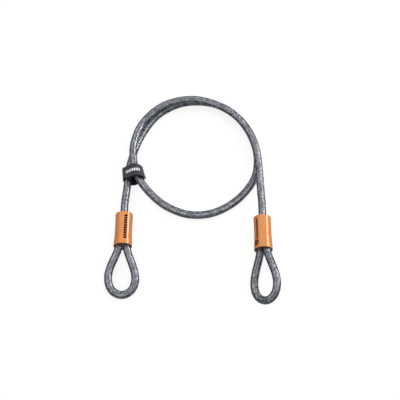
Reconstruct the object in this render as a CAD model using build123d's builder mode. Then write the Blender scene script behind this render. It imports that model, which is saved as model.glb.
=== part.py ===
from build123d import *
import os
from math import cos, radians, sin, tan

# Double-loop security cable, lying on the ground (z = 0) as it is sold: coiled one and a half times,
# tied with a hook-and-loop strap, and both eyes towards -Y. Millimetres, +Z up.
# The origin is the middle of the footprint, at ground level.

os.makedirs("parts", exist_ok=True)

# ---------------------------------------------------------------- driving dimensions
CABLE_D = 10.0            # outside of the vinyl jacket
STEEL_D = 7.4             # outside of the braided wires
CORE_D = 2.6              # centre strand
LAYER_GAP = 0.05          # radial gap between core, braid and jacket
RUN_SHARE = 0.45          # an arc takes this share of the shorter run beside it

STRAND_OFFSET = 5.1       # each strand's distance from the middle of a crimp
SLEEVE_LENGTH = 45.5
SLEEVE_MOUTH_R = 11.9
SLEEVE_WAIST_R = 10.9
SLEEVE_TOP_R = 11.2
SLEEVE_WAIST_AT = 27.0    # height of the waist above the mouth
SLEEVE_RIM = 0.9          # wall at the mouth
RIM_ROUND = 0.35
SLEEVE_LOW_BULGE = 0.2    # how far the outside bows out, below and above the waist
SLEEVE_HIGH_BULGE = 0.12
CAP_ROUND = 1.2
CAP_HOLE_D = CABLE_D + 0.5
HOLE_REACH = 0.1          # the hole starts this share of its length before the jacket does
CAP_POINT = 46.0          # the main run's first point, just above the cap
FERRULE_LOW = 3.2         # heights above the sleeve's mouth
FERRULE_LENGTH = 18.0
FERRULE_TOP = FERRULE_LOW + FERRULE_LENGTH
FERRULE_WIDTH = 19.0
FERRULE_THICK = 11.4
CAVITY_R = FERRULE_WIDTH / 2 + 0.15
CAVITY_TOP = 28.0
CAVITY_NARROWING = 0.6    # the cavity is this much narrower at its top
CAVITY_LEDGE = 1.0        # height of the slope between the wide mouth and the cavity
FERRULE_CHAMFER = 0.6
TAIL_END = 21.9
BEND_AT = 24.0            # the long strand starts to lean to the middle here
BEND_RADIUS = 23.0
JACKET_START = 28.5       # where the main jacket was stripped to

LEFT_MOUTH = (-87.5, -76.4, 12.0)
LEFT_DROOP = 6.25          # degrees: the left eye leans down to touch the ground
LEFT_TWIST = 0.0
RIGHT_MOUTH = (90.1, -82.7, 15.4)
RIGHT_DROOP = 0.0
RIGHT_TWIST = 38.0        # degrees: the right eye stands half on edge

STRAP_MIDDLE = (-78.75, 30.6)
STRAP_LEAN = 6.0          # degrees between the strap's axis and +Y
STRAP_WIDTH = 18.4
TAPE = 1.0                # one layer of the strap's tape
PILE = 0.4                # height of the loop pile, and of the hooks
CLOSURE_GAP = 0.2         # between pile and hooks
SKIN_GAP = 0.05           # between a layer and the tape it is sewn to
# The closed strap's outside, across it and up: it drapes from the low strand over the high one.
WRAP_OUTLINE = [(-14.4, 0.1), (-14.4, 12.3), (-0.2, 23.4), (8.8, 23.4), (16.4, 13.6), (16.4, 0.1)]
SHOULDER_R = 6.3          # outside radii of its corners
TOP_R = 8.0
FOOT_R = 5.4
WRAP_START = -7.6         # where the tape's inner end lies, under the flap
PAD_START = -6.6
HOOKS_START = -4.6
FLAP_ROOT_Z = 8.4         # the flap leaves the wrap here, on the left side
FLAP_SPLIT = 4.0          # the flap's second fold, on its flat top
FLAP_END_Z = 8.0
FLAP_END_R = 3.0
FOLD_GAP = 0.3
THREAD = 0.5
STITCH_INSET = 1.4
STITCH_REST = 0.6         # the threads stop this far from the second fold
STITCH_SHORT = 2.0        # and this far from the flap's end
HOOKS_SHORT = 1.5
PRINT_GAP = 0.02          # threads and print clear the tape by this much
TAB_ACROSS = -0.4
TAB_WIDTH = 10.5
TAB_REACH = 2.8
TAB_INSET = 1.1
MARK_START = -9.6         # the mark's bars, across the flap
MARK_TALL = 4.0
MARK_HIGH = 0.16
BAR_PITCH = 2.7
BAR_WIDTH = 1.5
BAR_SLANT = 1.0

# Eye routes in the eye's own plane: (across, out from the sleeve's mouth).
LEFT_EYE = [
    (-5.1, -2.2), (-5.1, 2.5), (-8.6, 12.2), (-13.6, 24.0), (-17.0, 36.1),
    (-16.2, 49.0), (-9.9, 59.7), (1.3, 63.9), (11.7, 59.3), (17.2, 49.1),
    (17.2, 37.1), (13.4, 25.0), (8.6, 13.2), (5.1, 2.5), (5.1, -2.2),
]
RIGHT_EYE = [
    (-5.1, -2.2), (-5.1, 3.5), (-8.4, 13.7), (-12.6, 25.4), (-15.9, 38.5),
    (-15.4, 52.5), (-8.6, 63.9), (3.6, 68.7), (14.2, 62.1), (17.9, 50.0),
    (16.6, 37.5), (12.9, 25.9), (8.4, 13.2), (5.1, 3.5), (5.1, -2.2),
]

# The main run, from the left sleeve's cap, through the strap, one and a half turns of the coil with
# the second turn lying on the first, down the right leg to the right sleeve's cap.
MAIN_RUN = [
    (-87.6, -30.4, 12.0), (-88.3, -15.5, 10.2), (-86.3, 10.0, 7.0), (-85.5, 33.0, 6.5),
    (-83.9, 48.0, 6.1), (-80.2, 66.0, 5.1), (-73.4, 88.8, 5.0), (-59.4, 115.7, 5.0),
    (-44.6, 133.7, 5.0), (-14.5, 150.7, 5.0), (21.4, 151.4, 5.0), (52.0, 138.3, 5.0),
    (75.2, 109.5, 5.0), (88.1, 73.2, 5.0), (87.9, 39.0, 5.0), (79.0, 16.5, 5.0),
    (58.0, -9.0, 5.0), (28.0, -26.8, 5.0), (-3.0, -29.3, 5.0), (-29.5, -19.4, 5.5),
    (-49.5, -5.0, 7.8), (-68.4, 17.3, 10.2), (-76.6, 34.6, 13.9), (-80.0, 58.0, 16.5),
    (-79.7, 76.4, 16.0), (-71.3, 107.4, 15.5), (-44.7, 137.7, 15.5), (-12.2, 148.6, 15.5),
    (14.2, 147.5, 15.5), (48.5, 132.3, 15.5), (72.1, 107.1, 15.5), (85.4, 75.6, 15.5),
    (88.9, 45.0, 15.5), (89.6, 9.0, 15.4), (91.0, -19.0, 15.4), (90.3, -36.7, 15.4),
]


# ---------------------------------------------------------------- routes
def eye_point(mouth, droop, twist, across, out):
    """A point of an eye's plane, placed in the part's frame."""
    x = mouth[0] + across * cos(radians(twist))
    y = mouth[1] - out * cos(radians(droop))
    z = mouth[2] + across * sin(radians(twist)) - out * sin(radians(droop))
    return Vector(x, y, z)


def crimp_point(mouth, twist, across, height):
    """A point inside a sleeve, at a height above its mouth."""
    return eye_point(mouth, 0.0, twist, across, -height)


def corner_radii(points):
    """The arc at each inner point: as large as the two runs beside it allow."""
    radii = []
    for before, here, after in zip(points, points[1:], points[2:]):
        run_in = here - before
        run_out = after - here
        turn = radians(run_in.get_angle(run_out))
        radii.append(RUN_SHARE * min(run_in.length, run_out.length) / tan(turn / 2))
    return radii


left_eye_route = [eye_point(LEFT_MOUTH, LEFT_DROOP, LEFT_TWIST, a, u) for a, u in LEFT_EYE]
right_eye_route = [eye_point(RIGHT_MOUTH, RIGHT_DROOP, RIGHT_TWIST, a, u) for a, u in RIGHT_EYE]
# The left eye starts to droop only outside its sleeve.
for place in (0, 1, -2, -1):
    across, out = LEFT_EYE[place]
    left_eye_route[place] = crimp_point(LEFT_MOUTH, LEFT_TWIST, across, -out)

main_points = [Vector(*point) for point in MAIN_RUN]
left_bend = crimp_point(LEFT_MOUTH, LEFT_TWIST, -STRAND_OFFSET, BEND_AT)
right_bend = crimp_point(RIGHT_MOUTH, RIGHT_TWIST, STRAND_OFFSET, BEND_AT)
cap_share = (JACKET_START - BEND_AT) / (CAP_POINT - BEND_AT)
left_start = left_bend + (main_points[0] - left_bend) * cap_share
right_start = right_bend + (main_points[-1] - right_bend) * cap_share
main_route = [left_start] + main_points + [right_start]

left_eye_radii = corner_radii(left_eye_route)
right_eye_radii = corner_radii(right_eye_route)
main_radii = corner_radii(main_route)

# The wires run unbroken: left tail, left eye, main run, right eye, right tail.
left_tail = crimp_point(LEFT_MOUTH, LEFT_TWIST, STRAND_OFFSET, TAIL_END)
right_tail = crimp_point(RIGHT_MOUTH, RIGHT_TWIST, -STRAND_OFFSET, TAIL_END)
wire_route = (
    [left_tail] + left_eye_route[-2:0:-1] + [left_bend] + main_points
    + [right_bend] + right_eye_route[-2:0:-1] + [right_tail]
)
wire_radii = (
    left_eye_radii[::-1] + [BEND_RADIUS] + main_radii + [BEND_RADIUS] + right_eye_radii[::-1]
)

for name, radii in (
    ("left eye", left_eye_radii), ("right eye", right_eye_radii), ("main run", main_radii),
):
    print(name, "radii:", " ".join(f"{radius:.0f}" for radius in radii))


def make_tube(route, radii, outer_d, inner_d=0.0):
    """A round tube, or a rod, along straight runs joined by tangent arcs."""
    with BuildPart() as tube:
        with BuildLine():
            FilletPolyline(*route, radius=radii)
        with BuildSketch(Plane(origin=route[0], z_dir=route[1] - route[0])):
            Circle(outer_d / 2)
            if inner_d:
                Circle(inner_d / 2, mode=Mode.SUBTRACT)
        sweep()
    return tube


def save(node, part):
    """Label one finished piece and write its file."""
    part.label = node
    export_step(part, f"parts/{node}.step")


def report_tube(node, part, route, radii, outer_d, inner_d):
    """Compare a tube's volume with its section times its length."""
    with BuildLine() as line:
        FilletPolyline(*route, radius=radii)
    length = sum(edge.length for edge in line.edges())
    section = 3.14159265 * (outer_d**2 - inner_d**2) / 4
    share = part.volume / (section * length)
    print(f"{node}: length {length:.1f} mm, volume / (section x length) = {share:.4f}")


# ---------------------------------------------------------------- cable
jacket_bore = STEEL_D + 2 * LAYER_GAP
braid_bore = CORE_D + 2 * LAYER_GAP
for node, route, radii, outer_d, inner_d in (
    ("wire_core", wire_route, wire_radii, CORE_D, 0.0),
    ("steel_braid", wire_route, wire_radii, STEEL_D, braid_bore),
    ("main_jacket", main_route, main_radii, CABLE_D, jacket_bore),
    ("left_eye_jacket", left_eye_route, left_eye_radii, CABLE_D, jacket_bore),
    ("right_eye_jacket", right_eye_route, right_eye_radii, CABLE_D, jacket_bore),
):
    cable = make_tube(route, radii, outer_d, inner_d)
    report_tube(node, cable.part, route, radii, outer_d, inner_d)
    save(node, cable.part)


# ---------------------------------------------------------------- crimps and sleeves
def make_ferrule(mouth, twist):
    """An oval swaged ferrule with a bore for each strand."""
    low_end = Plane(origin=crimp_point(mouth, twist, 0, FERRULE_LOW), x_dir=(1, 0, 0), z_dir=(0, 1, 0))
    with BuildPart() as ferrule:
        with BuildSketch(low_end):
            SlotOverall(FERRULE_WIDTH, FERRULE_THICK, rotation=-twist)
        extrude(amount=FERRULE_LENGTH)
        chamfer(ferrule.faces().sort_by(Axis.Y)[0].edges(), FERRULE_CHAMFER)
        chamfer(ferrule.faces().sort_by(Axis.Y)[-1].edges(), FERRULE_CHAMFER)
        with BuildSketch(low_end):
            with Locations(Location((0, 0, 0), (0, 0, -twist))):
                with Locations((-STRAND_OFFSET, 0), (STRAND_OFFSET, 0)):
                    Circle(STEEL_D / 2 + LAYER_GAP)
        extrude(amount=FERRULE_LENGTH, mode=Mode.SUBTRACT)
    return ferrule


def make_sleeve(mouth, hole):
    """A moulded cap: open mouth, slight waist, closed top with a leaning hole for one strand."""
    waist = (SLEEVE_WAIST_AT, SLEEVE_WAIST_R)
    ledge = FERRULE_LOW - LAYER_GAP
    mouth_r = SLEEVE_MOUTH_R - SLEEVE_RIM
    with BuildPart() as sleeve:
        with BuildSketch(Plane(origin=mouth, x_dir=(0, 1, 0), z_dir=(0, 0, 1))) as profile:
            with BuildLine():
                Polyline(
                    (CAVITY_TOP, 0), (CAVITY_TOP, CAVITY_R - CAVITY_NARROWING), (FERRULE_TOP + 1, CAVITY_R),
                    (ledge, CAVITY_R), (ledge - CAVITY_LEDGE, mouth_r), (0, mouth_r), (0, SLEEVE_MOUTH_R),
                )
                ThreePointArc(
                    (0, SLEEVE_MOUTH_R), (SLEEVE_WAIST_AT / 2, SLEEVE_WAIST_R + SLEEVE_LOW_BULGE), waist,
                )
                ThreePointArc(
                    waist, ((SLEEVE_WAIST_AT + SLEEVE_LENGTH) / 2, SLEEVE_WAIST_R + SLEEVE_HIGH_BULGE),
                    (SLEEVE_LENGTH, SLEEVE_TOP_R),
                )
                Polyline((SLEEVE_LENGTH, SLEEVE_TOP_R), (SLEEVE_LENGTH, 0), (CAVITY_TOP, 0))
            make_face()
            fillet(profile.vertices().sort_by(Axis.Y)[-1], RIM_ROUND)
            fillet(profile.vertices().group_by(Axis.X)[-1].sort_by(Axis.Y)[-1], CAP_ROUND)
        revolve(axis=Axis(mouth, (0, 1, 0)))
        add(hole, mode=Mode.SUBTRACT)
    return sleeve


for side, mouth, twist, start, cap, leg, radius in (
    ("left", LEFT_MOUTH, LEFT_TWIST, left_start, main_points[0], main_points[1], main_radii[0]),
    ("right", RIGHT_MOUTH, RIGHT_TWIST, right_start, main_points[-1], main_points[-2], main_radii[-1]),
):
    hole = make_tube([start - (cap - start) * HOLE_REACH, cap, leg], [radius], CAP_HOLE_D)
    save(f"{side}_ferrule", make_ferrule(mouth, twist).part)
    save(f"{side}_sleeve", make_sleeve(mouth, hole.part).part)


# ---------------------------------------------------------------- strap
# Across the strap is x, up is y and the sketches are extruded towards the eyes.
lean = radians(STRAP_LEAN)
strap_axis = Vector(-sin(lean), cos(lean), 0)
strap_across = Vector(cos(lean), sin(lean), 0)
strap_middle = Vector(STRAP_MIDDLE[0], STRAP_MIDDLE[1], 0)


def strap_plane(along):
    """The strap's cross-section plane at a place along its axis, facing the eyes."""
    return Plane(origin=strap_middle + strap_axis * along, x_dir=strap_across, z_dir=strap_axis * -1)


def strap_point(across, height, along=0.0):
    """A point of the strap in the part's frame."""
    return strap_middle + strap_axis * along + strap_across * across + Vector(0, 0, height)


def make_strip(points, radii, thickness, far=STRAP_WIDTH / 2, width=STRAP_WIDTH, end_r=0.0):
    """A strip of tape that follows a rounded line across the strap; end_r rounds its low end."""
    with BuildPart() as strip:
        with BuildSketch(strap_plane(far)):
            with BuildLine():
                FilletPolyline(*points, radius=radii)
            trace(line_width=thickness)
        extrude(amount=width)
        if end_r:
            low_end = strip.faces().sort_by(Axis.Z)[0]
            fillet(low_end.edges().filter_by(Axis(strap_middle, strap_across)), end_r)
    return strip


def run_line(first, second, depth):
    """One run of the outline, moved inwards: a point of it and its direction."""
    start = Vector(*first)
    along = (Vector(*second) - start).normalized()
    return start + Vector(along.Y, -along.X) * depth, along


def crossing(one, other):
    """Where two runs meet, as (across, height)."""
    start, along = one
    there, onward = other
    gap = there - start
    reach = (gap.X * onward.Y - gap.Y * onward.X) / (along.X * onward.Y - along.Y * onward.X)
    meet = start + along * reach
    return meet.X, meet.Y


class Layer:
    """The corners of one layer of the closed strap, this deep under its outside."""

    def __init__(self, depth):
        left, slope, top, fall, right = [
            run_line(first, second, depth) for first, second in zip(WRAP_OUTLINE, WRAP_OUTLINE[1:])
        ]
        self.slope = slope
        self.shoulder = crossing(left, slope)
        self.top_left = crossing(slope, top)
        self.top_right = crossing(top, fall)
        self.right_corner = crossing(fall, right)

    def slope_point(self, across):
        """The point of the slope this far across."""
        start, along = self.slope
        return across, start.Y + (across - start.X) * along.Y / along.X


half_tape = TAPE / 2
hook_depth = TAPE + SKIN_GAP + PILE / 2
pad_depth = hook_depth + PILE + CLOSURE_GAP
band_depth = pad_depth + PILE / 2 + SKIN_GAP + half_tape
foot = WRAP_OUTLINE[0][1] + half_tape
left_side = WRAP_OUTLINE[0][0] + half_tape

# The wrap: one turn of tape, from its inner end under the flap, clockwise to the flap's root.
wrap = Layer(band_depth)
band = make_strip(
    [
        wrap.slope_point(WRAP_START), wrap.top_left, wrap.top_right, wrap.right_corner,
        (wrap.right_corner[0], foot), (left_side, foot), (left_side, FLAP_ROOT_Z - FOLD_GAP),
    ],
    [TOP_R - band_depth] * 3 + [FOOT_R - half_tape] * 2,
    TAPE,
)
save("strap_band", band.part)

pile = Layer(pad_depth)
loop_pad = make_strip(
    [pile.slope_point(PAD_START), pile.top_left, pile.top_right, pile.right_corner,
     (pile.right_corner[0], FLAP_END_Z)],
    [TOP_R - pad_depth] * 3, PILE,
)
save("loop_pad", loop_pad.part)

# The flap: the tape's outer end, folded over the pile, in a root piece and a tip piece.
outer = Layer(half_tape)
root_end = FLAP_SPLIT - FOLD_GAP / 2
tip_start = FLAP_SPLIT + FOLD_GAP / 2
flap = make_strip(
    [(left_side, FLAP_ROOT_Z), outer.shoulder, outer.top_left, (root_end, outer.top_left[1])],
    [SHOULDER_R - half_tape, TOP_R - half_tape], TAPE,
)
save("strap_flap", flap.part)
tip = make_strip(
    [(tip_start, outer.top_right[1]), outer.top_right, outer.right_corner,
     (outer.right_corner[0], FLAP_END_Z)],
    [TOP_R - half_tape] * 2, TAPE, end_r=FLAP_END_R,
)
save("flap_tip", tip.part)

hooks = Layer(hook_depth)
root_hooks = make_strip(
    [hooks.slope_point(HOOKS_START), hooks.top_left, (root_end, hooks.top_left[1])],
    [TOP_R - hook_depth], PILE,
)
save("flap_hooks", root_hooks.part)
tip_hooks = make_strip(
    [(tip_start, hooks.top_right[1]), hooks.top_right, hooks.right_corner,
     (hooks.right_corner[0], FLAP_END_Z + HOOKS_SHORT)],
    [TOP_R - hook_depth] * 2, PILE,
)
save("tip_hooks", tip_hooks.part)

# A thread along each long edge of the flap.
thread_out = THREAD / 2 + PRINT_GAP
seam = Layer(-thread_out)
root_line = [
    seam.slope_point(HOOKS_START), seam.top_left, (FLAP_SPLIT - STITCH_REST, seam.top_left[1]),
]
tip_line = [
    (FLAP_SPLIT + STITCH_REST, seam.top_right[1]), seam.top_right, seam.right_corner,
    (seam.right_corner[0], FLAP_END_Z + STITCH_SHORT),
]
for node, line in (("flap_stitches", root_line), ("tip_stitches", tip_line)):
    with BuildPart() as threads:
        for edge in (-1, 1):
            far = edge * (STRAP_WIDTH / 2 - STITCH_INSET) + THREAD / 2
            add(make_strip(line, [TOP_R + thread_out] * (len(line) - 2), THREAD, far, THREAD).part)
    save(node, threads.part)

# The mark: a plain row of slanted bars, printed thick on the middle of the flap.
mark_out = MARK_HIGH / 2 + PRINT_GAP
ink = Layer(-mark_out)
root_line = [ink.slope_point(MARK_START - BAR_PITCH), ink.top_left, (FLAP_SPLIT, ink.top_left[1])]
tip_line = [
    (FLAP_SPLIT, ink.top_right[1]), ink.top_right, ink.right_corner,
    (ink.right_corner[0], FLAP_END_Z + STITCH_SHORT),
]
for node, line, bars in (("flap_mark", root_line, range(5)), ("tip_mark", tip_line, range(5, 8))):
    with BuildPart() as mark:
        add(make_strip(line, [TOP_R + mark_out] * (len(line) - 2), MARK_HIGH, MARK_TALL / 2, MARK_TALL).part)
        with BuildSketch(Plane(origin=strap_point(MARK_START, 0), x_dir=strap_across)):
            for bar in bars:
                with Locations((bar * BAR_PITCH, 0)):
                    Polygon(
                        (0, -MARK_TALL), (BAR_WIDTH, -MARK_TALL), (BAR_WIDTH + 2 * BAR_SLANT, MARK_TALL),
                        (2 * BAR_SLANT, MARK_TALL), align=None,
                    )
        extrude(amount=2 * WRAP_OUTLINE[2][1], mode=Mode.INTERSECT)
    save(node, mark.part)

# ---------------------------------------------------------------- tab
# The tape's rounded tongue, sewn under the wrap, that shows between the two legs.
tab_low = WRAP_OUTLINE[0][1]
for node, height, thickness in (
    ("strap_tab", tab_low, TAPE),
    ("tab_stitches", tab_low + TAPE + PRINT_GAP, THREAD),
):
    with BuildPart() as tab:
        near_edge = strap_point(TAB_ACROSS, height, -STRAP_WIDTH / 2 - PRINT_GAP)
        with BuildSketch(Plane(origin=near_edge, x_dir=strap_across)):
            if node == "strap_tab":
                with BuildLine():
                    ThreePointArc((-TAB_WIDTH / 2, 0), (0, -TAB_REACH), (TAB_WIDTH / 2, 0))
                    Line((TAB_WIDTH / 2, 0), (-TAB_WIDTH / 2, 0))
                make_face()
            else:
                with BuildLine():
                    ThreePointArc(
                        (TAB_INSET - TAB_WIDTH / 2, 0), (0, TAB_INSET - TAB_REACH),
                        (TAB_WIDTH / 2 - TAB_INSET, 0),
                    )
                trace(line_width=THREAD)
        extrude(amount=thickness)
    save(node, tab.part)
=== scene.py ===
import math

import bpy
import numpy as np
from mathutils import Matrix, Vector
from mathutils.bvhtree import BVHTree


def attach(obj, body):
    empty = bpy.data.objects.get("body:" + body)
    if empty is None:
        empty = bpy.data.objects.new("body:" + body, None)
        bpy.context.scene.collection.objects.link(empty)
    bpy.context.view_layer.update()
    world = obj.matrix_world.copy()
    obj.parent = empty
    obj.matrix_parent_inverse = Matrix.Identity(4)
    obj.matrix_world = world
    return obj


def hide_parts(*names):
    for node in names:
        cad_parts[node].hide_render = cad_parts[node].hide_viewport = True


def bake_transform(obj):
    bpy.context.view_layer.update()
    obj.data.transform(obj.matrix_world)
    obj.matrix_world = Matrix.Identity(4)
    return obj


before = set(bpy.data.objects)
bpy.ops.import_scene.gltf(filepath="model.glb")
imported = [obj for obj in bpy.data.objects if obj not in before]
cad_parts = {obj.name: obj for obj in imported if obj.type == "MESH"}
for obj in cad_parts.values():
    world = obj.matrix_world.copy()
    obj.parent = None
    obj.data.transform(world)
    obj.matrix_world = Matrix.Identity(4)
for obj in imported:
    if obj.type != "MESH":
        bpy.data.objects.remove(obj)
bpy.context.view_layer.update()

# A looped security cable lying in one and a half turns, with an orange sleeve at the foot of each eye
# and a hook-and-loop strap around the crossing. Metres, +Z up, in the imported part's frame.

MM = 0.001
CABLE_D = 10 * MM
SCENE = bpy.context.scene


# ---------------------------------------------------------------- camera
def aim(thing, target):
    """Turn a camera or a light so that it looks at a point."""
    thing.rotation_euler = (Vector(target) - thing.location).to_track_quat("-Z", "Y").to_euler()


CAMERA_TARGET = (0.0103, -0.0033, 0.0)
CAMERA_DISTANCE = 1.0
CAMERA_ELEVATION = math.radians(62)
LENS_MM, SENSOR_MM = 67.95, 36.0

camera = bpy.data.objects.new("camera", bpy.data.cameras.new("camera"))
camera.data.lens = LENS_MM
camera.data.sensor_width = SENSOR_MM
camera.data.clip_start = 0.01
camera.location = Vector(CAMERA_TARGET) + CAMERA_DISTANCE * Vector(
    (0.0, -math.cos(CAMERA_ELEVATION), math.sin(CAMERA_ELEVATION)))
aim(camera, CAMERA_TARGET)
SCENE.collection.objects.link(camera)
SCENE.camera = camera

# ---------------------------------------------------------------- the cable's routes
# The same route points as the CAD part, in millimetres here and in metres in the splines. Heights in a
# sleeve are measured up from its mouth, which faces the eye.
STRAND_OFFSET = 5.1       # from a sleeve's axis to each of the two strands in it
JACKET_START = 28.5       # height at which the main jacket begins
BEND_AT = 24.0            # height at which the main strand starts to lean towards the sleeve's cap
CAP_POINT = 46.0          # height of the cap's top
TAIL_END = 21.9           # height at which the eye's tail ends
LEFT_MOUTH = (-87.5, -76.4, 12.0)
LEFT_DROOP = 6.25         # degrees that the eye droops to the ground
LEFT_TWIST = 0.0          # degrees that the sleeve and its eye are turned on edge
RIGHT_MOUTH = (90.1, -82.7, 15.4)
RIGHT_DROOP = 0.0
RIGHT_TWIST = 38.0

# Each eye in its own plane: across the sleeve, and out from its mouth.
LEFT_EYE = [
    (-5.1, -2.2), (-5.1, 2.5), (-8.6, 12.2), (-13.6, 24.0), (-17.0, 36.1),
    (-16.2, 49.0), (-9.9, 59.7), (1.3, 63.9), (11.7, 59.3), (17.2, 49.1),
    (17.2, 37.1), (13.4, 25.0), (8.6, 13.2), (5.1, 2.5), (5.1, -2.2),
]
RIGHT_EYE = [
    (-5.1, -2.2), (-5.1, 3.5), (-8.4, 13.7), (-12.6, 25.4), (-15.9, 38.5),
    (-15.4, 52.5), (-8.6, 63.9), (3.6, 68.7), (14.2, 62.1), (17.9, 50.0),
    (16.6, 37.5), (12.9, 25.9), (8.4, 13.2), (5.1, 3.5), (5.1, -2.2),
]
# The main strand, from the top of the left sleeve's cap round to the top of the right one's.
MAIN_RUN = [
    (-87.6, -30.4, 12.0), (-88.3, -15.5, 10.2), (-86.3, 10.0, 7.0), (-85.5, 33.0, 6.5),
    (-83.9, 48.0, 6.1), (-80.2, 66.0, 5.1), (-73.4, 88.8, 5.0), (-59.4, 115.7, 5.0),
    (-44.6, 133.7, 5.0), (-14.5, 150.7, 5.0), (21.4, 151.4, 5.0), (52.0, 138.3, 5.0),
    (75.2, 109.5, 5.0), (88.1, 73.2, 5.0), (87.9, 39.0, 5.0), (79.0, 16.5, 5.0),
    (58.0, -9.0, 5.0), (28.0, -26.8, 5.0), (-3.0, -29.3, 5.0), (-29.5, -19.4, 5.5),
    (-49.5, -5.0, 7.8), (-68.4, 17.3, 10.2), (-76.6, 34.6, 13.9), (-80.0, 58.0, 16.5),
    (-79.7, 76.4, 16.0), (-71.3, 107.4, 15.5), (-44.7, 137.7, 15.5), (-12.2, 148.6, 15.5),
    (14.2, 147.5, 15.5), (48.5, 132.3, 15.5), (72.1, 107.1, 15.5), (85.4, 75.6, 15.5),
    (88.9, 45.0, 15.5), (89.6, 9.0, 15.4), (91.0, -19.0, 15.4), (90.3, -36.7, 15.4),
]


def eye_point(mouth, droop, twist, across, out):
    """A point of an eye's plane, in millimetres in the part's frame."""
    droop, twist = math.radians(droop), math.radians(twist)
    return np.array((
        mouth[0] + across * math.cos(twist),
        mouth[1] - out * math.cos(droop),
        mouth[2] + across * math.sin(twist) - out * math.sin(droop),
    ))


def crimp_point(mouth, twist, across, height):
    """A point inside a sleeve, at a height above its mouth."""
    return eye_point(mouth, 0.0, twist, across, -height)


left_eye_route = [eye_point(LEFT_MOUTH, LEFT_DROOP, LEFT_TWIST, a, u) for a, u in LEFT_EYE]
right_eye_route = [eye_point(RIGHT_MOUTH, RIGHT_DROOP, RIGHT_TWIST, a, u) for a, u in RIGHT_EYE]
for place in (0, 1, -2, -1):    # the points inside the sleeve don't droop
    across, out = LEFT_EYE[place]
    left_eye_route[place] = crimp_point(LEFT_MOUTH, LEFT_TWIST, across, -out)

main_points = [np.array(point) for point in MAIN_RUN]
left_bend = crimp_point(LEFT_MOUTH, LEFT_TWIST, -STRAND_OFFSET, BEND_AT)
right_bend = crimp_point(RIGHT_MOUTH, RIGHT_TWIST, STRAND_OFFSET, BEND_AT)
cap_share = (JACKET_START - BEND_AT) / (CAP_POINT - BEND_AT)
left_start = left_bend + (main_points[0] - left_bend) * cap_share
right_start = right_bend + (main_points[-1] - right_bend) * cap_share
main_route = [left_start] + main_points + [right_start]


def spline_line(name, route):
    """The smooth line that a route's points pull: a NURBS spline, read back as points."""
    curve = bpy.data.curves.new(name, "CURVE")
    curve.dimensions = "3D"
    spline = curve.splines.new("NURBS")
    spline.points.add(len(route) - 1)
    for point, place in zip(spline.points, route):
        point.co = (*(place * MM), 1.0)
    spline.order_u = 3
    spline.use_endpoint_u = True
    spline.resolution_u = 20
    holder = bpy.data.objects.new(name, curve)
    mesh = bpy.data.meshes.new_from_object(holder)
    line = np.array([v.co for v in mesh.vertices], float)
    bpy.data.objects.remove(holder)
    bpy.data.curves.remove(curve)
    bpy.data.meshes.remove(mesh)
    return line


main_line = spline_line("main_line", main_route)
left_eye_line = spline_line("left_eye_line", left_eye_route)
right_eye_line = spline_line("right_eye_line", right_eye_route)


# ---------------------------------------------------------------- mesh helpers
def new_object(name, verts, faces, material=None, smooth=True):
    """A mesh object from arrays of corners and faces."""
    mesh = bpy.data.meshes.new(name)
    mesh.from_pydata([tuple(v) for v in verts], [], [tuple(f) for f in faces])
    mesh.validate()
    if smooth:
        mesh.polygons.foreach_set("use_smooth", [True] * len(mesh.polygons))
    piece = bpy.data.objects.new(name, mesh)
    SCENE.collection.objects.link(piece)
    if material:
        mesh.materials.append(material)
    return piece


def set_values(mesh, name, values):
    """Keep one number per corner of the mesh, for its material to read."""
    attribute = mesh.attributes.new(name, "FLOAT", "POINT")
    attribute.data.foreach_set("value", np.asarray(values, np.float32).ravel())


def distances(line):
    """How far along a line each of its points is."""
    return np.concatenate(([0], np.cumsum(np.linalg.norm(np.diff(line, axis=0), axis=1))))


def resample(line, step):
    """Evenly spaced points along a line of close points, and how far along each is."""
    moves_on = np.concatenate(([True], np.linalg.norm(np.diff(line, axis=0), axis=1) > 1e-9))
    line = line[moves_on]
    along = distances(line)
    count = max(3, int(round(along[-1] / step)) + 1)
    places = np.linspace(0, along[-1], count)
    return np.column_stack([np.interp(places, along, line[:, i]) for i in range(3)]), places


def steady_frames(points):
    """A side and a second side at each point of a line, that never twist about it."""
    tangents = np.gradient(points, axis=0)
    tangents /= np.linalg.norm(tangents, axis=1)[:, None]
    side = np.cross(tangents[0], (0.0, 0.0, 1.0))
    side /= np.linalg.norm(side)
    sides = [side]
    for tangent in tangents[1:]:
        side = side - tangent * np.dot(side, tangent)
        side /= np.linalg.norm(side)
        sides.append(side)
    sides = np.array(sides)
    return sides, np.cross(tangents, sides)


def grid_faces(rows, columns, closed):
    """Quads over a grid of corners, row by row; closed joins the last column to the first."""
    last = columns if closed else columns - 1
    row = np.arange(rows - 1)[:, None] * columns
    here = np.arange(last)[None, :]
    there = (here + 1) % columns
    return np.stack(
        (row + here, row + there, row + columns + there, row + columns + here), axis=-1).reshape(-1, 4)


def tube_faces(rows, columns):
    """Faces of a closed tube: rings of corners joined row by row, and a face over each end."""
    faces = [tuple(f) for f in grid_faces(rows, columns, True)]
    faces.append(tuple(range(columns))[::-1])
    faces.append(tuple(range((rows - 1) * columns, rows * columns)))
    return faces


def slab_faces(rows, columns, around=False):
    """Faces of a closed slab: a grid of corners on top, and the same grid again underneath."""
    count = rows * columns
    top = grid_faces(rows, columns, around)
    faces = [tuple(f) for f in top] + [tuple(f + count)[::-1] for f in top]
    first, last = list(range(columns)), list(range(count - columns, count))[::-1]
    if around:
        rims = [first, last]
    else:
        right = [row * columns + columns - 1 for row in range(1, rows - 1)]
        left = [row * columns for row in range(rows - 2, 0, -1)]
        rims = [first + right + last + left]
    for rim in rims:
        for here, there in zip(rim, rim[1:] + rim[:1]):
            faces.append((there, here, here + count, there + count))
    return faces


def shifted(faces, by):
    """The same faces over corners that start further on."""
    return [tuple(corner + by for corner in face) for face in faces]


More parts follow.
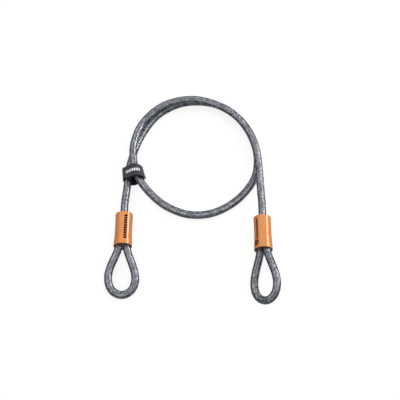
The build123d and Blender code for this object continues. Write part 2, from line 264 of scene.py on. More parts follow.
def tube(name, line, radius, sides, step, material, rounding=0.0):
    """A closed round tube along a line, with its ends closed and a little rounded."""
    points, _ = resample(line, step)
    across, up = steady_frames(points)
    angles = (np.arange(sides) * 2 * math.pi / sides)[None, :, None]
    ring = np.cos(angles) * across[:, None, :] + np.sin(angles) * up[:, None, :]
    radii = np.full(len(points), radius)
    radii[0] -= rounding
    radii[-1] -= rounding
    verts = (points[:, None, :] + ring * radii[:, None, None]).reshape(-1, 3)
    return new_object(name, verts, tube_faces(len(points), sides), material), points


# ---------------------------------------------------------------- material helpers
class Shader:
    """A small helper that builds one node material."""

    def __init__(self, name):
        self.material = bpy.data.materials.new(name)
        self.material.use_nodes = True
        self.nodes = self.material.node_tree.nodes
        self.links = self.material.node_tree.links
        self.surface = self.nodes["Principled BSDF"]

    def add(self, kind, **settings):
        """A new node, with its settings and its sockets' values by name."""
        made = self.nodes.new(kind)
        for key, value in settings.items():
            if hasattr(made, key):
                setattr(made, key, value)
            else:
                made.inputs[key].default_value = value
        return made

    def wire(self, output, socket):
        """Link an output to one of the surface's sockets."""
        self.links.new(output, self.surface.inputs[socket])

    def set(self, **values):
        """Set constants on the surface's own sockets."""
        for key, value in values.items():
            self.surface.inputs[key.replace("_", " ")].default_value = value

    def attribute(self, name):
        """A number that the mesh keeps per corner."""
        return self.add("ShaderNodeAttribute", attribute_name=name).outputs["Fac"]

    def position(self):
        """The place on the piece, in metres."""
        return self.add("ShaderNodeTexCoord").outputs["Object"]

    def math(self, operation, *values):
        """A calculation on numbers and outputs."""
        made = self.add("ShaderNodeMath", operation=operation)
        for socket, value in zip(made.inputs, values):
            if isinstance(value, (int, float)):
                socket.default_value = value
            else:
                self.links.new(value, socket)
        return made.outputs[0]

    def plane(self, x, y):
        """A place for a noise, from two numbers."""
        made = self.add("ShaderNodeCombineXYZ")
        self.links.new(x, made.inputs[0])
        self.links.new(y, made.inputs[1])
        return made.outputs[0]

    def noise(self, vector, scale, detail=3.0, roughness=0.55):
        """A noise from 0 to 1."""
        made = self.add("ShaderNodeTexNoise", Scale=scale, Detail=detail, Roughness=roughness)
        self.links.new(vector, made.inputs["Vector"])
        return made.outputs["Fac"]

    def ramp(self, value, stops):
        """Colours by value, from (value, colour) stops."""
        made = self.add("ShaderNodeValToRGB")
        elements = made.color_ramp.elements
        while len(elements) < len(stops):
            elements.new(0.5)
        for element, (place, colour) in zip(elements, stops):
            element.position = place
            element.color = (*colour, 1.0)
        self.links.new(value, made.inputs["Fac"])
        return made.outputs["Color"]

    def bump(self, height, strength, distance, below=None):
        """A bump, over a coarser one below it if there is one."""
        made = self.add("ShaderNodeBump", Strength=strength, Distance=distance)
        self.links.new(height, made.inputs["Height"])
        if below is not None:
            self.links.new(below, made.inputs["Normal"])
        return made.outputs["Normal"]


def srgb(red, green, blue):
    """A colour from 0-255 display values, as linear light."""
    def one(value):
        value /= 255
        return value / 12.92 if value <= 0.04045 else ((value + 0.055) / 1.055) ** 2.4
    return one(red), one(green), one(blue)


# ---------------------------------------------------------------- materials
def jacket_material():
    """Clear smoke-grey vinyl, glossy, that the braid shows through."""
    shader = Shader("clear_vinyl")
    shader.set(
        Base_Color=(0.68, 0.71, 0.77, 1.0), Roughness=0.11, IOR=1.5, Transmission_Weight=1.0,
        Coat_Weight=0.25, Coat_Roughness=0.12)
    position = shader.position()
    shader.wire(shader.bump(shader.noise(position, 220.0), 0.06, 0.0003), "Normal")
    return shader.material


STRANDS_APART = 400.0     # so far apart in the noise that neighbouring strands have nothing in common


def strand_material(name, dark, middle, light):
    """Drawn steel wire: light and dark stretches follow each strand along the cable, as painted highlight
    streaks.
    """
    shader = Shader(name)
    shader.set(Metallic=1.0, Roughness=0.5)
    strand = shader.math("MULTIPLY", shader.attribute("strand"), STRANDS_APART)
    # Painted highlight: bright stretches along each strand stand in for glints on its wires.
    stretches = shader.noise(shader.plane(strand, shader.attribute("run")), 0.13, 1.0)
    shader.wire(shader.ramp(stretches, [(0.38, dark), (0.5, middle), (0.62, light)]), "Base Color")
    return shader.material


def core_material():
    """The core's wires that show between the braid's strands, painted dark as the shade in the gaps."""
    shader = Shader("painted_shade_core_wires")
    shader.set(Metallic=1.0, Roughness=0.5)
    colour = shader.ramp(shader.noise(shader.position(), 900.0), [
        (0.3, (0.10, 0.104, 0.112)), (0.8, (0.20, 0.204, 0.215))])
    shader.wire(colour, "Base Color")
    return shader.material


def vinyl_material():
    """Moulded orange vinyl: glossy, with faint ripples and a finer grain."""
    shader = Shader("orange_vinyl")
    shader.set(
        Roughness=0.22, IOR=1.5, Subsurface_Weight=0.25, Subsurface_Scale=0.004,
        Subsurface_Radius=(1.0, 0.35, 0.1), Coat_Weight=0.35, Coat_Roughness=0.06)
    position = shader.position()
    colour = shader.ramp(shader.noise(position, 70.0, 4.0), [
        (0.3, srgb(209, 124, 50)), (0.7, srgb(220, 138, 60))])
    shader.wire(colour, "Base Color")
    ripples = shader.bump(shader.noise(position, 60.0, 1.0), 0.12, 0.0006)
    grain = shader.bump(shader.noise(position, 2500.0, 2.0), 0.12, 0.00005, ripples)
    shader.wire(grain, "Normal")
    return shader.material


def ink_material():
    """Dark brown-black ink, a little worn."""
    shader = Shader("ink")
    shader.set(Roughness=0.8, Specular_IOR_Level=0.1)
    colour = shader.ramp(shader.noise(shader.position(), 900.0), [
        (0.25, srgb(30, 14, 12)), (0.6, srgb(10, 5, 6))])
    shader.wire(colour, "Base Color")
    return shader.material


def crimp_material():
    """Swaged aluminium, inside the sleeves."""
    shader = Shader("crimp_metal")
    shader.set(Metallic=1.0, Roughness=0.42)
    colour = shader.ramp(shader.noise(shader.position(), 500.0), [
        (0.3, (0.52, 0.53, 0.54)), (0.7, (0.66, 0.67, 0.68))])
    shader.wire(colour, "Base Color")
    return shader.material


WEAVE_U, WEAVE_V = 0.62, 0.8     # millimetres per thread, along the tape and across it


def tape_material(name, dark, light):
    """Woven tape: warp and weft over and under, a little dusty, from its u and v in millimetres."""
    shader = Shader(name)
    shader.set(Roughness=0.82, Sheen_Weight=0.25, Sheen_Roughness=0.4, Specular_IOR_Level=0.25)
    u, v = shader.attribute("u"), shader.attribute("v")
    warp = shader.math("SINE", shader.math("MULTIPLY", u, math.pi / WEAVE_U))
    weft = shader.math("SINE", shader.math("MULTIPLY", v, math.pi / WEAVE_V))
    cross = shader.math("MULTIPLY", warp, weft)
    place = shader.plane(u, v)
    fuzz = shader.noise(place, 3.0, 4.0)
    patches = shader.noise(place, 0.35, 2.0)
    dust = shader.math("ADD", shader.math("MULTIPLY", fuzz, 0.5), shader.math("MULTIPLY", patches, 0.5))
    tone = shader.math("ADD", shader.math("MULTIPLY", cross, 0.16), dust)
    shader.wire(shader.ramp(tone, [(0.3, dark), (0.72, light)]), "Base Color")
    height = shader.math("ADD", cross, shader.math("MULTIPLY", fuzz, 0.8))
    shader.wire(shader.bump(height, 0.8, 0.00012), "Normal")
    return shader.material


def pile_material(name, dark, light, scale):
    """The fuzz of a hook or loop patch."""
    shader = Shader(name)
    shader.set(Roughness=0.95, Sheen_Weight=0.5, Specular_IOR_Level=0.2)
    fuzz = shader.noise(shader.position(), scale, 3.0, 0.7)
    shader.wire(shader.ramp(fuzz, [(0.35, dark), (0.7, light)]), "Base Color")
    shader.wire(shader.bump(fuzz, 1.0, 0.0004), "Normal")
    return shader.material


def thread_material():
    """Sewing thread with its own fine twist."""
    shader = Shader("thread")
    shader.set(Roughness=0.6, Sheen_Weight=0.3)
    twist = shader.noise(shader.position(), 6000.0, 1.0)
    shader.wire(shader.ramp(twist, [(0.3, srgb(52, 51, 55)), (0.7, srgb(88, 87, 92))]), "Base Color")
    shader.wire(shader.bump(twist, 0.5, 0.0001), "Normal")
    return shader.material


def print_material():
    """Thick white print, slightly rough where the weave shows through."""
    shader = Shader("white_print")
    shader.set(Roughness=0.55)
    grain = shader.noise(shader.position(), 1800.0, 2.0)
    colour = shader.ramp(grain, [(0.25, srgb(232, 232, 238)), (0.6, srgb(252, 252, 255))])
    shader.wire(colour, "Base Color")
    shader.wire(shader.bump(grain, 0.4, 0.00008), "Normal")
    return shader.material


def floor_material():
    """A lit white table top: mostly its own glow, so that only a faint shadow shows on it."""
    shader = Shader("studio_floor")
    shader.set(
        Base_Color=(0.22, 0.22, 0.22, 1.0), Roughness=1.0, Specular_IOR_Level=0.0,
        Emission_Color=(1.0, 1.0, 0.995, 1.0), Emission_Strength=0.82)
    return shader.material


clear_vinyl = jacket_material()
# The two lays are the same steel: the right-hand lay is painted lighter as painted highlight, and the
# left-hand lay darker as painted shade.
painted_highlight_strands = strand_material(
    "painted_highlight_strands", dark=(0.30, 0.31, 0.33), middle=(0.55, 0.56, 0.58), light=(0.84, 0.85, 0.87))
painted_shade_strands = strand_material(
    "painted_shade_strands", dark=(0.17, 0.175, 0.19), middle=(0.30, 0.305, 0.32), light=(0.48, 0.485, 0.50))
painted_shade_core_wires = core_material()
orange_vinyl = vinyl_material()
ink = ink_material()
crimp_metal = crimp_material()
outer_tape = tape_material("charcoal_tape", srgb(46, 45, 49), srgb(74, 72, 77))
inner_tape = tape_material("black_tape", srgb(14, 14, 16), srgb(30, 30, 33))
loop_pile = pile_material("loop_pile", srgb(16, 16, 18), srgb(44, 44, 47), 1500.0)
hook_pile = pile_material("hook_pile", srgb(12, 12, 13), srgb(52, 52, 56), 2600.0)
thread = thread_material()
white_print = print_material()

# ---------------------------------------------------------------- jackets
JACKET_SIDES = 36
JACKET_STEP = 1.25 * MM
JACKET_ROUNDING = 0.2 * MM       # the rims of its ends are this much narrower
for name, line in (("main", main_line), ("left_eye", left_eye_line), ("right_eye", right_eye_line)):
    jacket, points = tube(
        f"{name}_vinyl", line, CABLE_D / 2, JACKET_SIDES, JACKET_STEP, clear_vinyl, JACKET_ROUNDING)
    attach(jacket, "cable")
    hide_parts(f"{name}_jacket")

# ---------------------------------------------------------------- braid
# The wires run unbroken from tail to tail, through both crimps.
left_tail = crimp_point(LEFT_MOUTH, LEFT_TWIST, STRAND_OFFSET, TAIL_END) * MM
right_tail = crimp_point(RIGHT_MOUTH, RIGHT_TWIST, -STRAND_OFFSET, TAIL_END) * MM
wire_line = np.concatenate((
    [left_tail], left_eye_line[::-1], [left_bend * MM], main_line, [right_bend * MM],
    right_eye_line[::-1], [right_tail],
))
CARRIERS = 12             # strands each way round
BRAID_PITCH = 38 * MM     # along the cable, for one turn of a strand
BRAID_R = 3.5 * MM        # to the middle of a strand
WEAVE = 0.16 * MM         # each strand rises and dips this much
STRAND_WIDTH = 1.62 * MM
STRAND_CROWN = 0.10 * MM  # a strand's edges lie this much lower than its middle
WIRES = 3                 # wires side by side in a strand
WIRE_RISE = 0.12 * MM     # each stands out this much
BRAID_STEP = 1.25 * MM
BRAID_INSET = 1.2 * MM    # the braid stops this far before the wires' ends
TONE_STRIDE = 5           # parts the tones of strands that lie side by side
CORE_R, CORE_SIDES, CORE_STEP = 3.0 * MM, 14, 2.0 * MM

wire_points, wire_along = resample(wire_line, 0.5 * MM)
wire_side, wire_up = steady_frames(wire_points)


def wire_at(along):
    """The wires' line and its two sides, at distances along it."""
    def between(values):
        return np.stack([np.interp(along, wire_along, values[:, i]) for i in range(3)], axis=-1)
    return between(wire_points), between(wire_side), between(wire_up)


def braid(name, turn, material):
    """Half the braid: the strands that wind one way, over two and under two of the others."""
    lean = math.atan(2 * math.pi * BRAID_R / BRAID_PITCH)
    along = np.arange(BRAID_INSET, wire_along[-1] - BRAID_INSET, BRAID_STEP)
    columns = 2 * WIRES + 1
    offsets = np.linspace(-0.5, 0.5, columns) * STRAND_WIDTH
    ridge = np.array([WIRE_RISE if i % 2 else 0.0 for i in range(columns)])
    ridge -= STRAND_CROWN * (2 * offsets / STRAND_WIDTH) ** 2
    places = along[:, None] - turn * offsets[None, :] * math.sin(lean)
    centre, side, up = wire_at(places)
    crossings = 2 * CARRIERS * along / BRAID_PITCH
    strip = tube_faces(len(along), columns)
    verts, faces, tones = [], [], []
    for carrier in range(CARRIERS):
        lift = turn * WEAVE * np.cos(math.pi / 2 * (turn * crossings + 2 * carrier - 0.5))
        angle = turn * 2 * math.pi * along / BRAID_PITCH + 2 * math.pi * carrier / CARRIERS
        angle = (angle[:, None] + offsets[None, :] * math.cos(lean) / BRAID_R)[..., None]
        radius = (BRAID_R + lift[:, None] + ridge[None, :])[..., None]
        faces += shifted(strip, carrier * len(along) * columns)
        verts.append((centre + (np.cos(angle) * side + np.sin(angle) * up) * radius).reshape(-1, 3))
        tones.append(np.full(len(along) * columns, (carrier * TONE_STRIDE % CARRIERS) / (CARRIERS - 1)))
    made = new_object(name, np.concatenate(verts), faces, material)
    set_values(made.data, "strand", np.concatenate(tones))
    set_values(made.data, "run", np.tile(np.repeat(along / MM, columns), CARRIERS))
    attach(made, "cable")
    return made


# The right-hand lay carries painted highlight and the left-hand lay painted shade.
right_lay = braid("braid_right_lay", 1, painted_highlight_strands)
braid("braid_left_lay", -1, painted_shade_strands)
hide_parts("steel_braid")
core, _ = tube("core_strand", wire_line[1:-1], CORE_R, CORE_SIDES, CORE_STEP, painted_shade_core_wires)
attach(core, "cable")
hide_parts("wire_core")

# ---------------------------------------------------------------- sleeves and crimps
def give_material(node, material):
    """A material for a CAD node that shows as it is."""
    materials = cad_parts[node].data.materials
    materials.clear()
    materials.append(material)


for side in ("left", "right"):
    give_material(f"{side}_sleeve", orange_vinyl)
    give_material(f"{side}_ferrule", crimp_metal)

# ---------------------------------------------------------------- sleeve marks
INK_RISE = 0.05 * MM      # the ink stands this far out of the vinyl
INK_ROOT = -0.05 * MM     # and its underside lies this deep
CAST_FROM = 30 * MM       # well outside a sleeve
BAR_PARTS = 4             # parts of a bar, and of the dot each way, that follow the sleeve's round
RING_PARTS = 24
DOT_HEIGHT, DOT_ANGLE = 7.4, -54.0      # above the mouth, and in degrees round from the top
SLEEVE_R = 11.4


def sleeve_print(name, sleeve, mouth, patches):
    """Ink patches that lie on a sleeve. Each is a grid of (height above the mouth, degrees round from
    the top) corners, and True where its last column joins its first."""
    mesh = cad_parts[sleeve].data
    tree = BVHTree.FromPolygons([v.co for v in mesh.vertices], [p.vertices for p in mesh.polygons])
    verts, faces = [], []

    def on_surface(height, degrees, rise):
        turn = math.radians(degrees)
        out = Vector((math.sin(turn), 0.0, math.cos(turn)))
        foot = Vector((mouth[0], mouth[1] + height, mouth[2])) * MM
        return tree.ray_cast(foot + out * CAST_FROM, -out)[0] + out * rise

    for grid, around in patches:
        faces += shifted(slab_faces(len(grid), len(grid[0]), around), len(verts))
        for rise in (INK_RISE, INK_ROOT):
            verts += [on_surface(height, degrees, rise) for row in grid for height, degrees in row]
    made = new_object(name, verts, faces, ink, smooth=False)
    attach(made, "cable")


def ink_bars(count, first, step, size, left, right, slant):
    """A row of bars up the sleeve, each from one angle to another and slanted up by this much."""
    shares = [part / BAR_PARTS for part in range(BAR_PARTS + 1)]
    return [
        ([[(first + step * bar + edge + slant * share, left + (right - left) * share) for share in shares]
          for edge in (0.0, size)], False)
        for bar in range(count)]


def near_dot(along, across):
    """A place on the right sleeve, by its distances from the middle of the dot."""
    return DOT_HEIGHT + along, DOT_ANGLE + math.degrees(across / SLEEVE_R)


def ink_ring(inner, outer):
    """A flat ring around the dot."""
    turns = [2 * math.pi * part / RING_PARTS for part in range(RING_PARTS)]
    return [
        [near_dot(radius * math.cos(turn), radius * math.sin(turn)) for turn in turns]
        for radius in (inner, outer)], True


def ink_dot(radius):
    """The dot: a square grid drawn out into a disc."""
    def drawn_out(a, b):
        return near_dot(radius * a * math.sqrt(1 - b * b / 2), radius * b * math.sqrt(1 - a * a / 2))

    places = [2 * part / BAR_PARTS - 1 for part in range(BAR_PARTS + 1)]
    return [[drawn_out(a, b) for b in places] for a in places], False


sleeve_print("left_sleeve_print", "left_sleeve", LEFT_MOUTH, ink_bars(
    count=10, first=6.6, step=3.4, size=2.6, left=7.0, right=28.0, slant=0.8))
sleeve_print("right_sleeve_print", "right_sleeve", RIGHT_MOUTH, ink_bars(
    count=10, first=12.8, step=2.8, size=2.0, left=-52.0, right=-37.0, slant=0.3,
) + [ink_ring(inner=2.1, outer=4.0), ink_dot(radius=1.2)])

# ---------------------------------------------------------------- strap
# Its cross-section is drawn across it and up, in millimetres; along runs from the eyes' side to the
# coil's. The outline starts at the ground on the left and runs clockwise over the top.
STRAP_MIDDLE = np.array((-78.75, 30.6, 0.0))
STRAP_LEAN = math.radians(6.0)
STRAP_AXIS = np.array((-math.sin(STRAP_LEAN), math.cos(STRAP_LEAN), 0.0))
STRAP_ACROSS = np.array((math.cos(STRAP_LEAN), math.sin(STRAP_LEAN), 0.0))
STRAP_WIDTH = 18.4
PATCH_WIDTH = STRAP_WIDTH - 1.0
TAPE, PILE = 1.0, 0.4     # thickness of the tape, and of the hook and loop patches
WRAP_OUTLINE = [(-14.4, 0.1), (-14.4, 12.3), (-0.2, 23.4), (8.8, 23.4), (16.4, 13.6), (16.4, 0.1)]
SHOULDER_R, TOP_R, FOOT_R = 6.3, 8.0, 5.4
# How deep under the outside the middles of the inner layers lie: hooks, loops, and the wrap's tape.
HOOK_DEPTH = TAPE + 0.05 + PILE / 2
PAD_DEPTH = HOOK_DEPTH + PILE + 0.2
BAND_DEPTH = PAD_DEPTH + PILE / 2 + 0.05 + TAPE / 2
OUTER_X = WRAP_OUTLINE[0][0]
LEFT_X = OUTER_X + TAPE / 2
FOOT_Z = WRAP_OUTLINE[0][1] + TAPE / 2
SEAM_Z = 5.0              # where the wrap's tape and the flap's tape meet, on the left side
FLAP_SPLIT = 2.0          # how far across the flap's two lengths of tape meet, at the second fold
FLAP_END_Z = 8.0          # height of the flap's free end, on the right side
TIP_ROUND = 3.0           # the tip's corners are rounded over this length
BAND_END, PAD_END = -7.6, -6.6          # how far across the wrap and the loops begin, on the slope
ROOT_HOOKS = (-4.6, 3.0)                # how far across the root's hooks begin and end
TIP_HOOKS_START, TIP_HOOKS_END_Z = 5.0, 9.5
PULL_IN = 3.4             # the right side is this much narrower at the coil's end
PULL_FROM, PULL_OVER = 1.0, 10.0        # how far across that begins, and over how much
NEAR_LIFT = 2.0           # the left side's edge towards the eyes is drawn back this far
LIFT_FROM, LIFT_OVER = -4.0, 9.0        # how far across that begins, going left, and over how much


def strap_place(across, height, along):
    """A point of the strap, in metres in the part's frame, with its two sides pulled out of square."""
    left = np.clip((LIFT_FROM - across) / LIFT_OVER, 0, 1)
    right = np.clip((across - PULL_FROM) / PULL_OVER, 0, 1)
    across = across - PULL_IN * right * right * (3 - 2 * right) * (along / STRAP_WIDTH + 0.5)
    along = along + NEAR_LIFT * left * (0.5 - along / STRAP_WIDTH)
    return (STRAP_MIDDLE + np.multiply.outer(across, STRAP_ACROSS) + np.multiply.outer(along, STRAP_AXIS)
            + np.multiply.outer(height, (0.0, 0.0, 1.0))) * MM


class Layer:
    """The strap's outline at a depth under its outside, by its corners."""

    def __init__(self, depth):
        lines = []
        for (x0, z0), (x1, z1) in zip(WRAP_OUTLINE, WRAP_OUTLINE[1:]):
            way = np.array((x1 - x0, z1 - z0)) / math.hypot(x1 - x0, z1 - z0)
            lines.append((np.array((x0, z0)) + np.array((way[1], -way[0])) * depth, way))
        corners = []
        for (start, way), (other, onward) in zip(lines, lines[1:]):
            gap = other - start
            reach = (gap[0] * onward[1] - gap[1] * onward[0]) / (way[0] * onward[1] - way[1] * onward[0])
            corners.append(tuple(start + way * reach))
        self.shoulder, self.top_left, self.top_right, self.right = corners
        self.slope_start, self.slope_way = lines[1]

    def slope(self, across):
        """A point of the slope on the left."""
        rise = self.slope_way[1] / self.slope_way[0]
        return across, self.slope_start[1] + (across - self.slope_start[0]) * rise

    def top(self, across):
        """A point of the flat top."""
        return across, self.top_right[1]

    def right_side(self, height):
        """A point of the right side."""
        return self.right[0], height


ARC_POINTS = 12           # in each round corner


def rounded(corners, radii, step=0.4):
    """An open line with round corners, as evenly spaced points."""
    corners = [np.array(corner, float) for corner in corners]
    line = [corners[0]]
    for before, here, after, radius in zip(corners, corners[1:], corners[2:], radii):
        way_in = (here - before) / np.linalg.norm(here - before)
        way_out = (after - here) / np.linalg.norm(after - here)
        turn = math.acos(np.clip(way_in @ way_out, -1, 1))
        reach = radius * math.tan(turn / 2)
        inward = way_out - way_in * (way_in @ way_out)
        inward /= np.linalg.norm(inward)
        centre = here - way_in * reach + inward * radius
        for angle in np.linspace(0, turn, ARC_POINTS):
            line.append(centre - inward * radius * math.cos(angle) + way_in * radius * math.sin(angle))
    line.append(corners[-1])
    line = np.array(line)
    along = distances(line)
    places = np.linspace(0, along[-1], max(3, int(along[-1] / step) + 1))
    return np.column_stack([np.interp(places, along, line[:, i]) for i in range(2)])


def line_normals(line):
    """Unit normals of a clockwise line, pointing out of the strap."""
    ways = np.gradient(line, axis=0)
    ways /= np.linalg.norm(ways, axis=1)[:, None]
    return np.column_stack((-ways[:, 1], ways[:, 0]))


EDGE = 0.32               # how far in from its edge the tape's face begins
FACE_SINK = 0.03          # between its selvedges the tape is this much thinner
BEAD, BEAD_INSET, BEAD_WIDTH = 0.05, 1.0, 0.5
FACE_CORNERS, END_CORNERS = 25, 4


def tape_profile(thickness, width):
    """The tape's cross-section: (along, lift) corners once round. First its outside, then one edge, its
    underside and the other edge."""
    half, rise = width / 2, thickness / 2
    top = []
    for share in np.linspace(-1, 1, FACE_CORNERS):
        place = share * (half - EDGE)
        bead = BEAD * math.exp(-((abs(place) - (half - BEAD_INSET)) / BEAD_WIDTH) ** 2) * thickness
        top.append((place, rise - FACE_SINK + bead))
    turned = half - EDGE * 0.3
    end = [(turned, rise * 0.72), (half, rise * 0.2), (half, -rise * 0.2), (turned, -rise * 0.72)]
    under = [(-place, -rise) for place, _ in top]
    return np.array(top + end + under + [(-a, -b) for a, b in end])


def tape(name, line, thickness, material, width=STRAP_WIDTH, start_u=0.0, end_round=0.0, under=None):
    """A closed strip of tape along a line of the strap's cross-section. under is the material of its
    underside, where that differs."""
    normals = line_normals(line)
    profile = tape_profile(thickness, width)
    u = start_u + distances(line)
    shrink = np.ones(len(line))
    if end_round:
        inside = np.clip(1 - (u[-1] - u) / end_round, 0, 1)
        shrink -= (1 - np.sqrt(1 - inside ** 2)) * end_round / (width / 2)
    along = profile[None, :, 0] * shrink[:, None]
    lift = np.broadcast_to(profile[None, :, 1], along.shape)
    across = line[:, 0][:, None] + normals[:, 0][:, None] * lift
    height = line[:, 1][:, None] + normals[:, 1][:, None] * lift
    verts = strap_place(across, height, along).reshape(-1, 3)
    columns = len(profile)
    faces = [face[::-1] for face in tube_faces(len(line), columns)]
    made = new_object(name, verts, faces, material)
    set_values(made.data, "u", np.repeat(u, columns))
    set_values(made.data, "v", np.tile(profile[:, 0], len(line)))
    if under:
        made.data.materials.append(under)
        first = FACE_CORNERS + END_CORNERS - 1      # the underside's first column of faces
        for face in made.data.polygons[:(len(line) - 1) * columns]:
            if first <= face.index % columns < first + FACE_CORNERS + 1:
                face.material_index = 1
    return made


def strap_piece(piece, body, node):
    """Name the body that a piece of the strap rides on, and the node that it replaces."""
    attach(piece, body)
    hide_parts(node)


def folded_piece(piece, node):
    """For a length of the flap that bends between two bodies: hide the node that it replaces and keep its
    place in its own corners, on no body.
    """
    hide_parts(node)
    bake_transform(piece)


# The wrap, from its inner end under the flap to the seam on the left side.
layer = Layer(BAND_DEPTH)
wrap = tape("wrap_tape", rounded(
    [layer.slope(BAND_END), layer.top_left, layer.top_right, layer.right, layer.right_side(FOOT_Z),
     (LEFT_X, FOOT_Z), (LEFT_X, SEAM_Z)],
    [TOP_R - BAND_DEPTH] * 3 + [FOOT_R - TAPE / 2] * 2), TAPE, inner_tape)
strap_piece(wrap, "cable", "strap_band")

layer = Layer(PAD_DEPTH)
pad = tape("loop_patch", rounded(
    [layer.slope(PAD_END), layer.top_left, layer.top_right, layer.right, layer.right_side(FLAP_END_Z)],
    [TOP_R - PAD_DEPTH] * 3), PILE, loop_pile, PATCH_WIDTH)
strap_piece(pad, "cable", "loop_pad")

# The flap bends where it leaves the wrap, and again at its second fold.
layer = Layer(TAPE / 2)
root_line = rounded(
    [(LEFT_X, SEAM_Z), layer.shoulder, layer.top_left, layer.top(FLAP_SPLIT)],
    [SHOULDER_R - TAPE / 2, TOP_R - TAPE / 2])
flap = tape("flap_tape", root_line, TAPE, outer_tape, under=inner_tape)
folded_piece(flap, "strap_flap")

tip = tape("tip_tape", rounded(
    [layer.top(FLAP_SPLIT), layer.top_right, layer.right, layer.right_side(FLAP_END_Z)],
    [TOP_R - TAPE / 2] * 2), TAPE, outer_tape,
    start_u=distances(root_line)[-1], end_round=TIP_ROUND, under=inner_tape)
folded_piece(tip, "flap_tip")

layer = Layer(HOOK_DEPTH)
root_hooks = tape("root_hook_patch", rounded(
    [layer.slope(ROOT_HOOKS[0]), layer.top_left, layer.top(ROOT_HOOKS[1])],
    [TOP_R - HOOK_DEPTH]), PILE, hook_pile, PATCH_WIDTH)
strap_piece(root_hooks, "flap", "flap_hooks")
tip_hooks = tape("tip_hook_patch", rounded(
    [layer.top(TIP_HOOKS_START), layer.top_right, layer.right, layer.right_side(TIP_HOOKS_END_Z)],
    [TOP_R - HOOK_DEPTH] * 2), PILE, hook_pile, PATCH_WIDTH)
strap_piece(tip_hooks, "tip", "tip_hooks")


# ---------------------------------------------------------------- stitches and print on the flap
class Surface:
    """The flap's outside, by distance along its line from the seam."""

    def __init__(self):
        outside = Layer(0.0)
        self.line = rounded(
            [(OUTER_X, SEAM_Z), outside.shoulder, outside.top_left, outside.top_right, outside.right,
             outside.right_side(FLAP_END_Z)], [SHOULDER_R, TOP_R, TOP_R, TOP_R], 0.2)
        self.normals = line_normals(self.line)
        self.u = distances(self.line)

    def place(self, u, along, lift):
        """A point over the flap, this far round, along and out."""
        across = np.interp(u, self.u, self.line[:, 0]) + np.interp(u, self.u, self.normals[:, 0]) * lift
        height = np.interp(u, self.u, self.line[:, 1]) + np.interp(u, self.u, self.normals[:, 1]) * lift
        return strap_place(across, height, along)

    def u_at(self, across):
        """The distance at which the line is this far across."""
        return float(np.interp(across, self.line[:, 0], self.u))


surface = Surface()
FOLD_U = surface.u_at(4.0)            # the second fold, where stitches and print part

STITCH_PITCH, STITCH_LENGTH, STITCH_R = 2.1, 1.65, 0.26
STITCH_SINK, STITCH_RISE = 0.02, 0.10 # how deep its ends lie, and how far its middle rises from them
STITCH_SIDES, STITCH_RINGS = 8, 7
STITCH_ALONG = STRAP_WIDTH / 2 - 1.4  # each row of stitches is this far from the tape's middle
ROOT_STITCHES = (surface.u_at(-12.8), FOLD_U - 0.4)
TIP_STITCHES = (FOLD_U + 0.6, surface.u[-1] - 2.0)


def stitches(name, node, body, first, last):
    """A row of short thread stitches near each edge: each sinks into the tape at both ends."""
    strip = tube_faces(STITCH_RINGS, STITCH_SIDES)
    turns = [2 * math.pi * side / STITCH_SIDES for side in range(STITCH_SIDES)]
    verts, faces = [], []
    for along in (-STITCH_ALONG, STITCH_ALONG):
        for start in np.arange(first, last - STITCH_LENGTH, STITCH_PITCH):
            faces += shifted(strip, len(verts))
            for ring in range(STITCH_RINGS):
                share = ring / (STITCH_RINGS - 1)
                fat = STITCH_R * math.sin(math.pi * (0.1 + 0.8 * share)) ** 0.5
                middle = STITCH_RISE * math.sin(math.pi * share) - STITCH_SINK
                for turn in turns:
                    verts.append(surface.place(
                        start + STITCH_LENGTH * share, along + fat * math.cos(turn),
                        middle + fat * math.sin(turn)))
    strap_piece(new_object(name, verts, faces, thread), body, node)


stitches("root_stitching", "flap_stitches", "flap", *ROOT_STITCHES)
stitches("tip_stitching", "tip_stitches", "tip", *TIP_STITCHES)

BAR_ALONG, BAR_LENGTH = -2.4, 4.0     # each bar starts here along the strap, and is this long
BAR_SLANT, BAR_WIDTH = 1.0, 1.5
BAR_STEP = 2.65
BAR_ROWS, BAR_COLUMNS = 7, 6
PRINT_RISE, PRINT_ROOT = 0.12, -0.1
ROOT_BARS = [FOLD_U - 2.5 - BAR_STEP * bar for bar in range(6)]
TIP_BARS = [FOLD_U + 0.2 + BAR_STEP * bar for bar in range(3)]


def printed_bars(name, node, body, bars):
    """Slanted bars of thick print that follow the tape."""
    verts, faces = [], []
    for start in bars:
        faces += shifted(slab_faces(BAR_ROWS, BAR_COLUMNS), len(verts))
        for lift in (PRINT_RISE, PRINT_ROOT):
            for row in range(BAR_ROWS):
                share = row / (BAR_ROWS - 1)
                for column in range(BAR_COLUMNS):
                    u = start + BAR_SLANT * share + BAR_WIDTH * column / (BAR_COLUMNS - 1)
                    verts.append(surface.place(u, BAR_ALONG + BAR_LENGTH * share, lift))
    strap_piece(new_object(name, verts, faces, white_print, smooth=False), body, node)


printed_bars("root_print", "flap_mark", "flap", ROOT_BARS)
printed_bars("tip_print", "tip_mark", "tip", TIP_BARS)

# ---------------------------------------------------------------- tongue
TONGUE_ACROSS, TONGUE_WIDTH, TONGUE_REACH = -0.4, 10.5, 2.8
TONGUE_TOP, TONGUE_FOOT, TONGUE_CROWN = 1.05, 0.1, 0.12
TONGUE_ROWS, TONGUE_COLUMNS = 13, 9
TONGUE_END = 0.3          # half the width of the last row


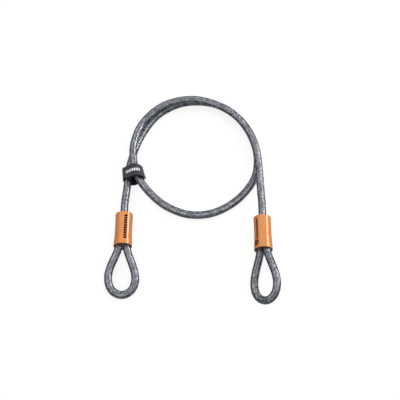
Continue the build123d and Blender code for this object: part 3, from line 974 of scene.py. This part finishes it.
def tongue():
    """The rounded tongue of tape that shows between the legs."""
    verts = []
    for height, crown in ((TONGUE_TOP, TONGUE_CROWN), (TONGUE_FOOT, 0.0)):
        for row in range(TONGUE_ROWS):
            share = row / (TONGUE_ROWS - 1)
            half = TONGUE_WIDTH / 2 * math.sqrt(1 - share ** 2) if share < 1 else TONGUE_END
            for column in range(TONGUE_COLUMNS):
                side = 1 - 2 * column / (TONGUE_COLUMNS - 1)
                verts.append(strap_place(
                    TONGUE_ACROSS + half * side, height + crown * (1 - side ** 2) * (1 - share),
                    -STRAP_WIDTH / 2 - TONGUE_REACH * share))
    made = new_object("tongue_tape", verts, slab_faces(TONGUE_ROWS, TONGUE_COLUMNS), inner_tape)
    flat = np.array([v.co for v in made.data.vertices]) / MM
    set_values(made.data, "u", flat[:, 0])
    set_values(made.data, "v", flat[:, 1])
    strap_piece(made, "cable", "strap_tab")


tongue()
give_material("tab_stitches", thread)

# ---------------------------------------------------------------- floor and light
FLOOR_REACH, FLOOR_Z = 40, -0.0002      # metres each way, and just under the cable
floor = new_object(
    "studio_floor_plane",
    [(x * FLOOR_REACH, y * FLOOR_REACH, FLOOR_Z) for x, y in ((-1, -1), (1, -1), (1, 1), (-1, 1))],
    [(0, 1, 2, 3)], floor_material(), smooth=False)
floor.visible_diffuse = False
floor.visible_glossy = False
floor.visible_transmission = False

# The room's light comes from above, and is dimmer near the horizon.
LOW_SKY, HIGH_SKY = (0.1, (0.27, 0.27, 0.29, 1.0)), (0.85, (1.0, 1.0, 1.0, 1.0))
SKY_STRENGTH = 0.98

SCENE.view_settings.view_transform = "Standard"
world = bpy.data.worlds.new("studio")
world.use_nodes = True
sky = world.node_tree
direction = sky.nodes.new("ShaderNodeTexCoord")
axes = sky.nodes.new("ShaderNodeSeparateXYZ")
shades = sky.nodes.new("ShaderNodeValToRGB")
for element, (place, colour) in zip(shades.color_ramp.elements, (LOW_SKY, HIGH_SKY)):
    element.position, element.color = place, colour
sky.links.new(direction.outputs["Generated"], axes.inputs[0])
sky.links.new(axes.outputs["Z"], shades.inputs["Fac"])
sky.links.new(shades.outputs["Color"], sky.nodes["Background"].inputs["Color"])
sky.nodes["Background"].inputs["Strength"].default_value = SKY_STRENGTH
SCENE.world = world


def softbox(name, place, target, size, watts):
    """A rectangular area light."""
    light = bpy.data.lights.new(name, "AREA")
    light.shape = "RECTANGLE"
    light.size, light.size_y = size
    light.energy = watts
    holder = bpy.data.objects.new(name, light)
    holder.location = place
    aim(holder, target)
    SCENE.collection.objects.link(holder)


softbox("key_strip", place=(1.35, 0.7, 0.65), target=(0.0, -0.05, 0.0), size=(1.1, 0.6), watts=18.0)
softbox("fill_box", place=(-0.9, 0.6, 1.3), target=(0.0, 0.0, 0.0), size=(1.5, 1.5), watts=6.0)
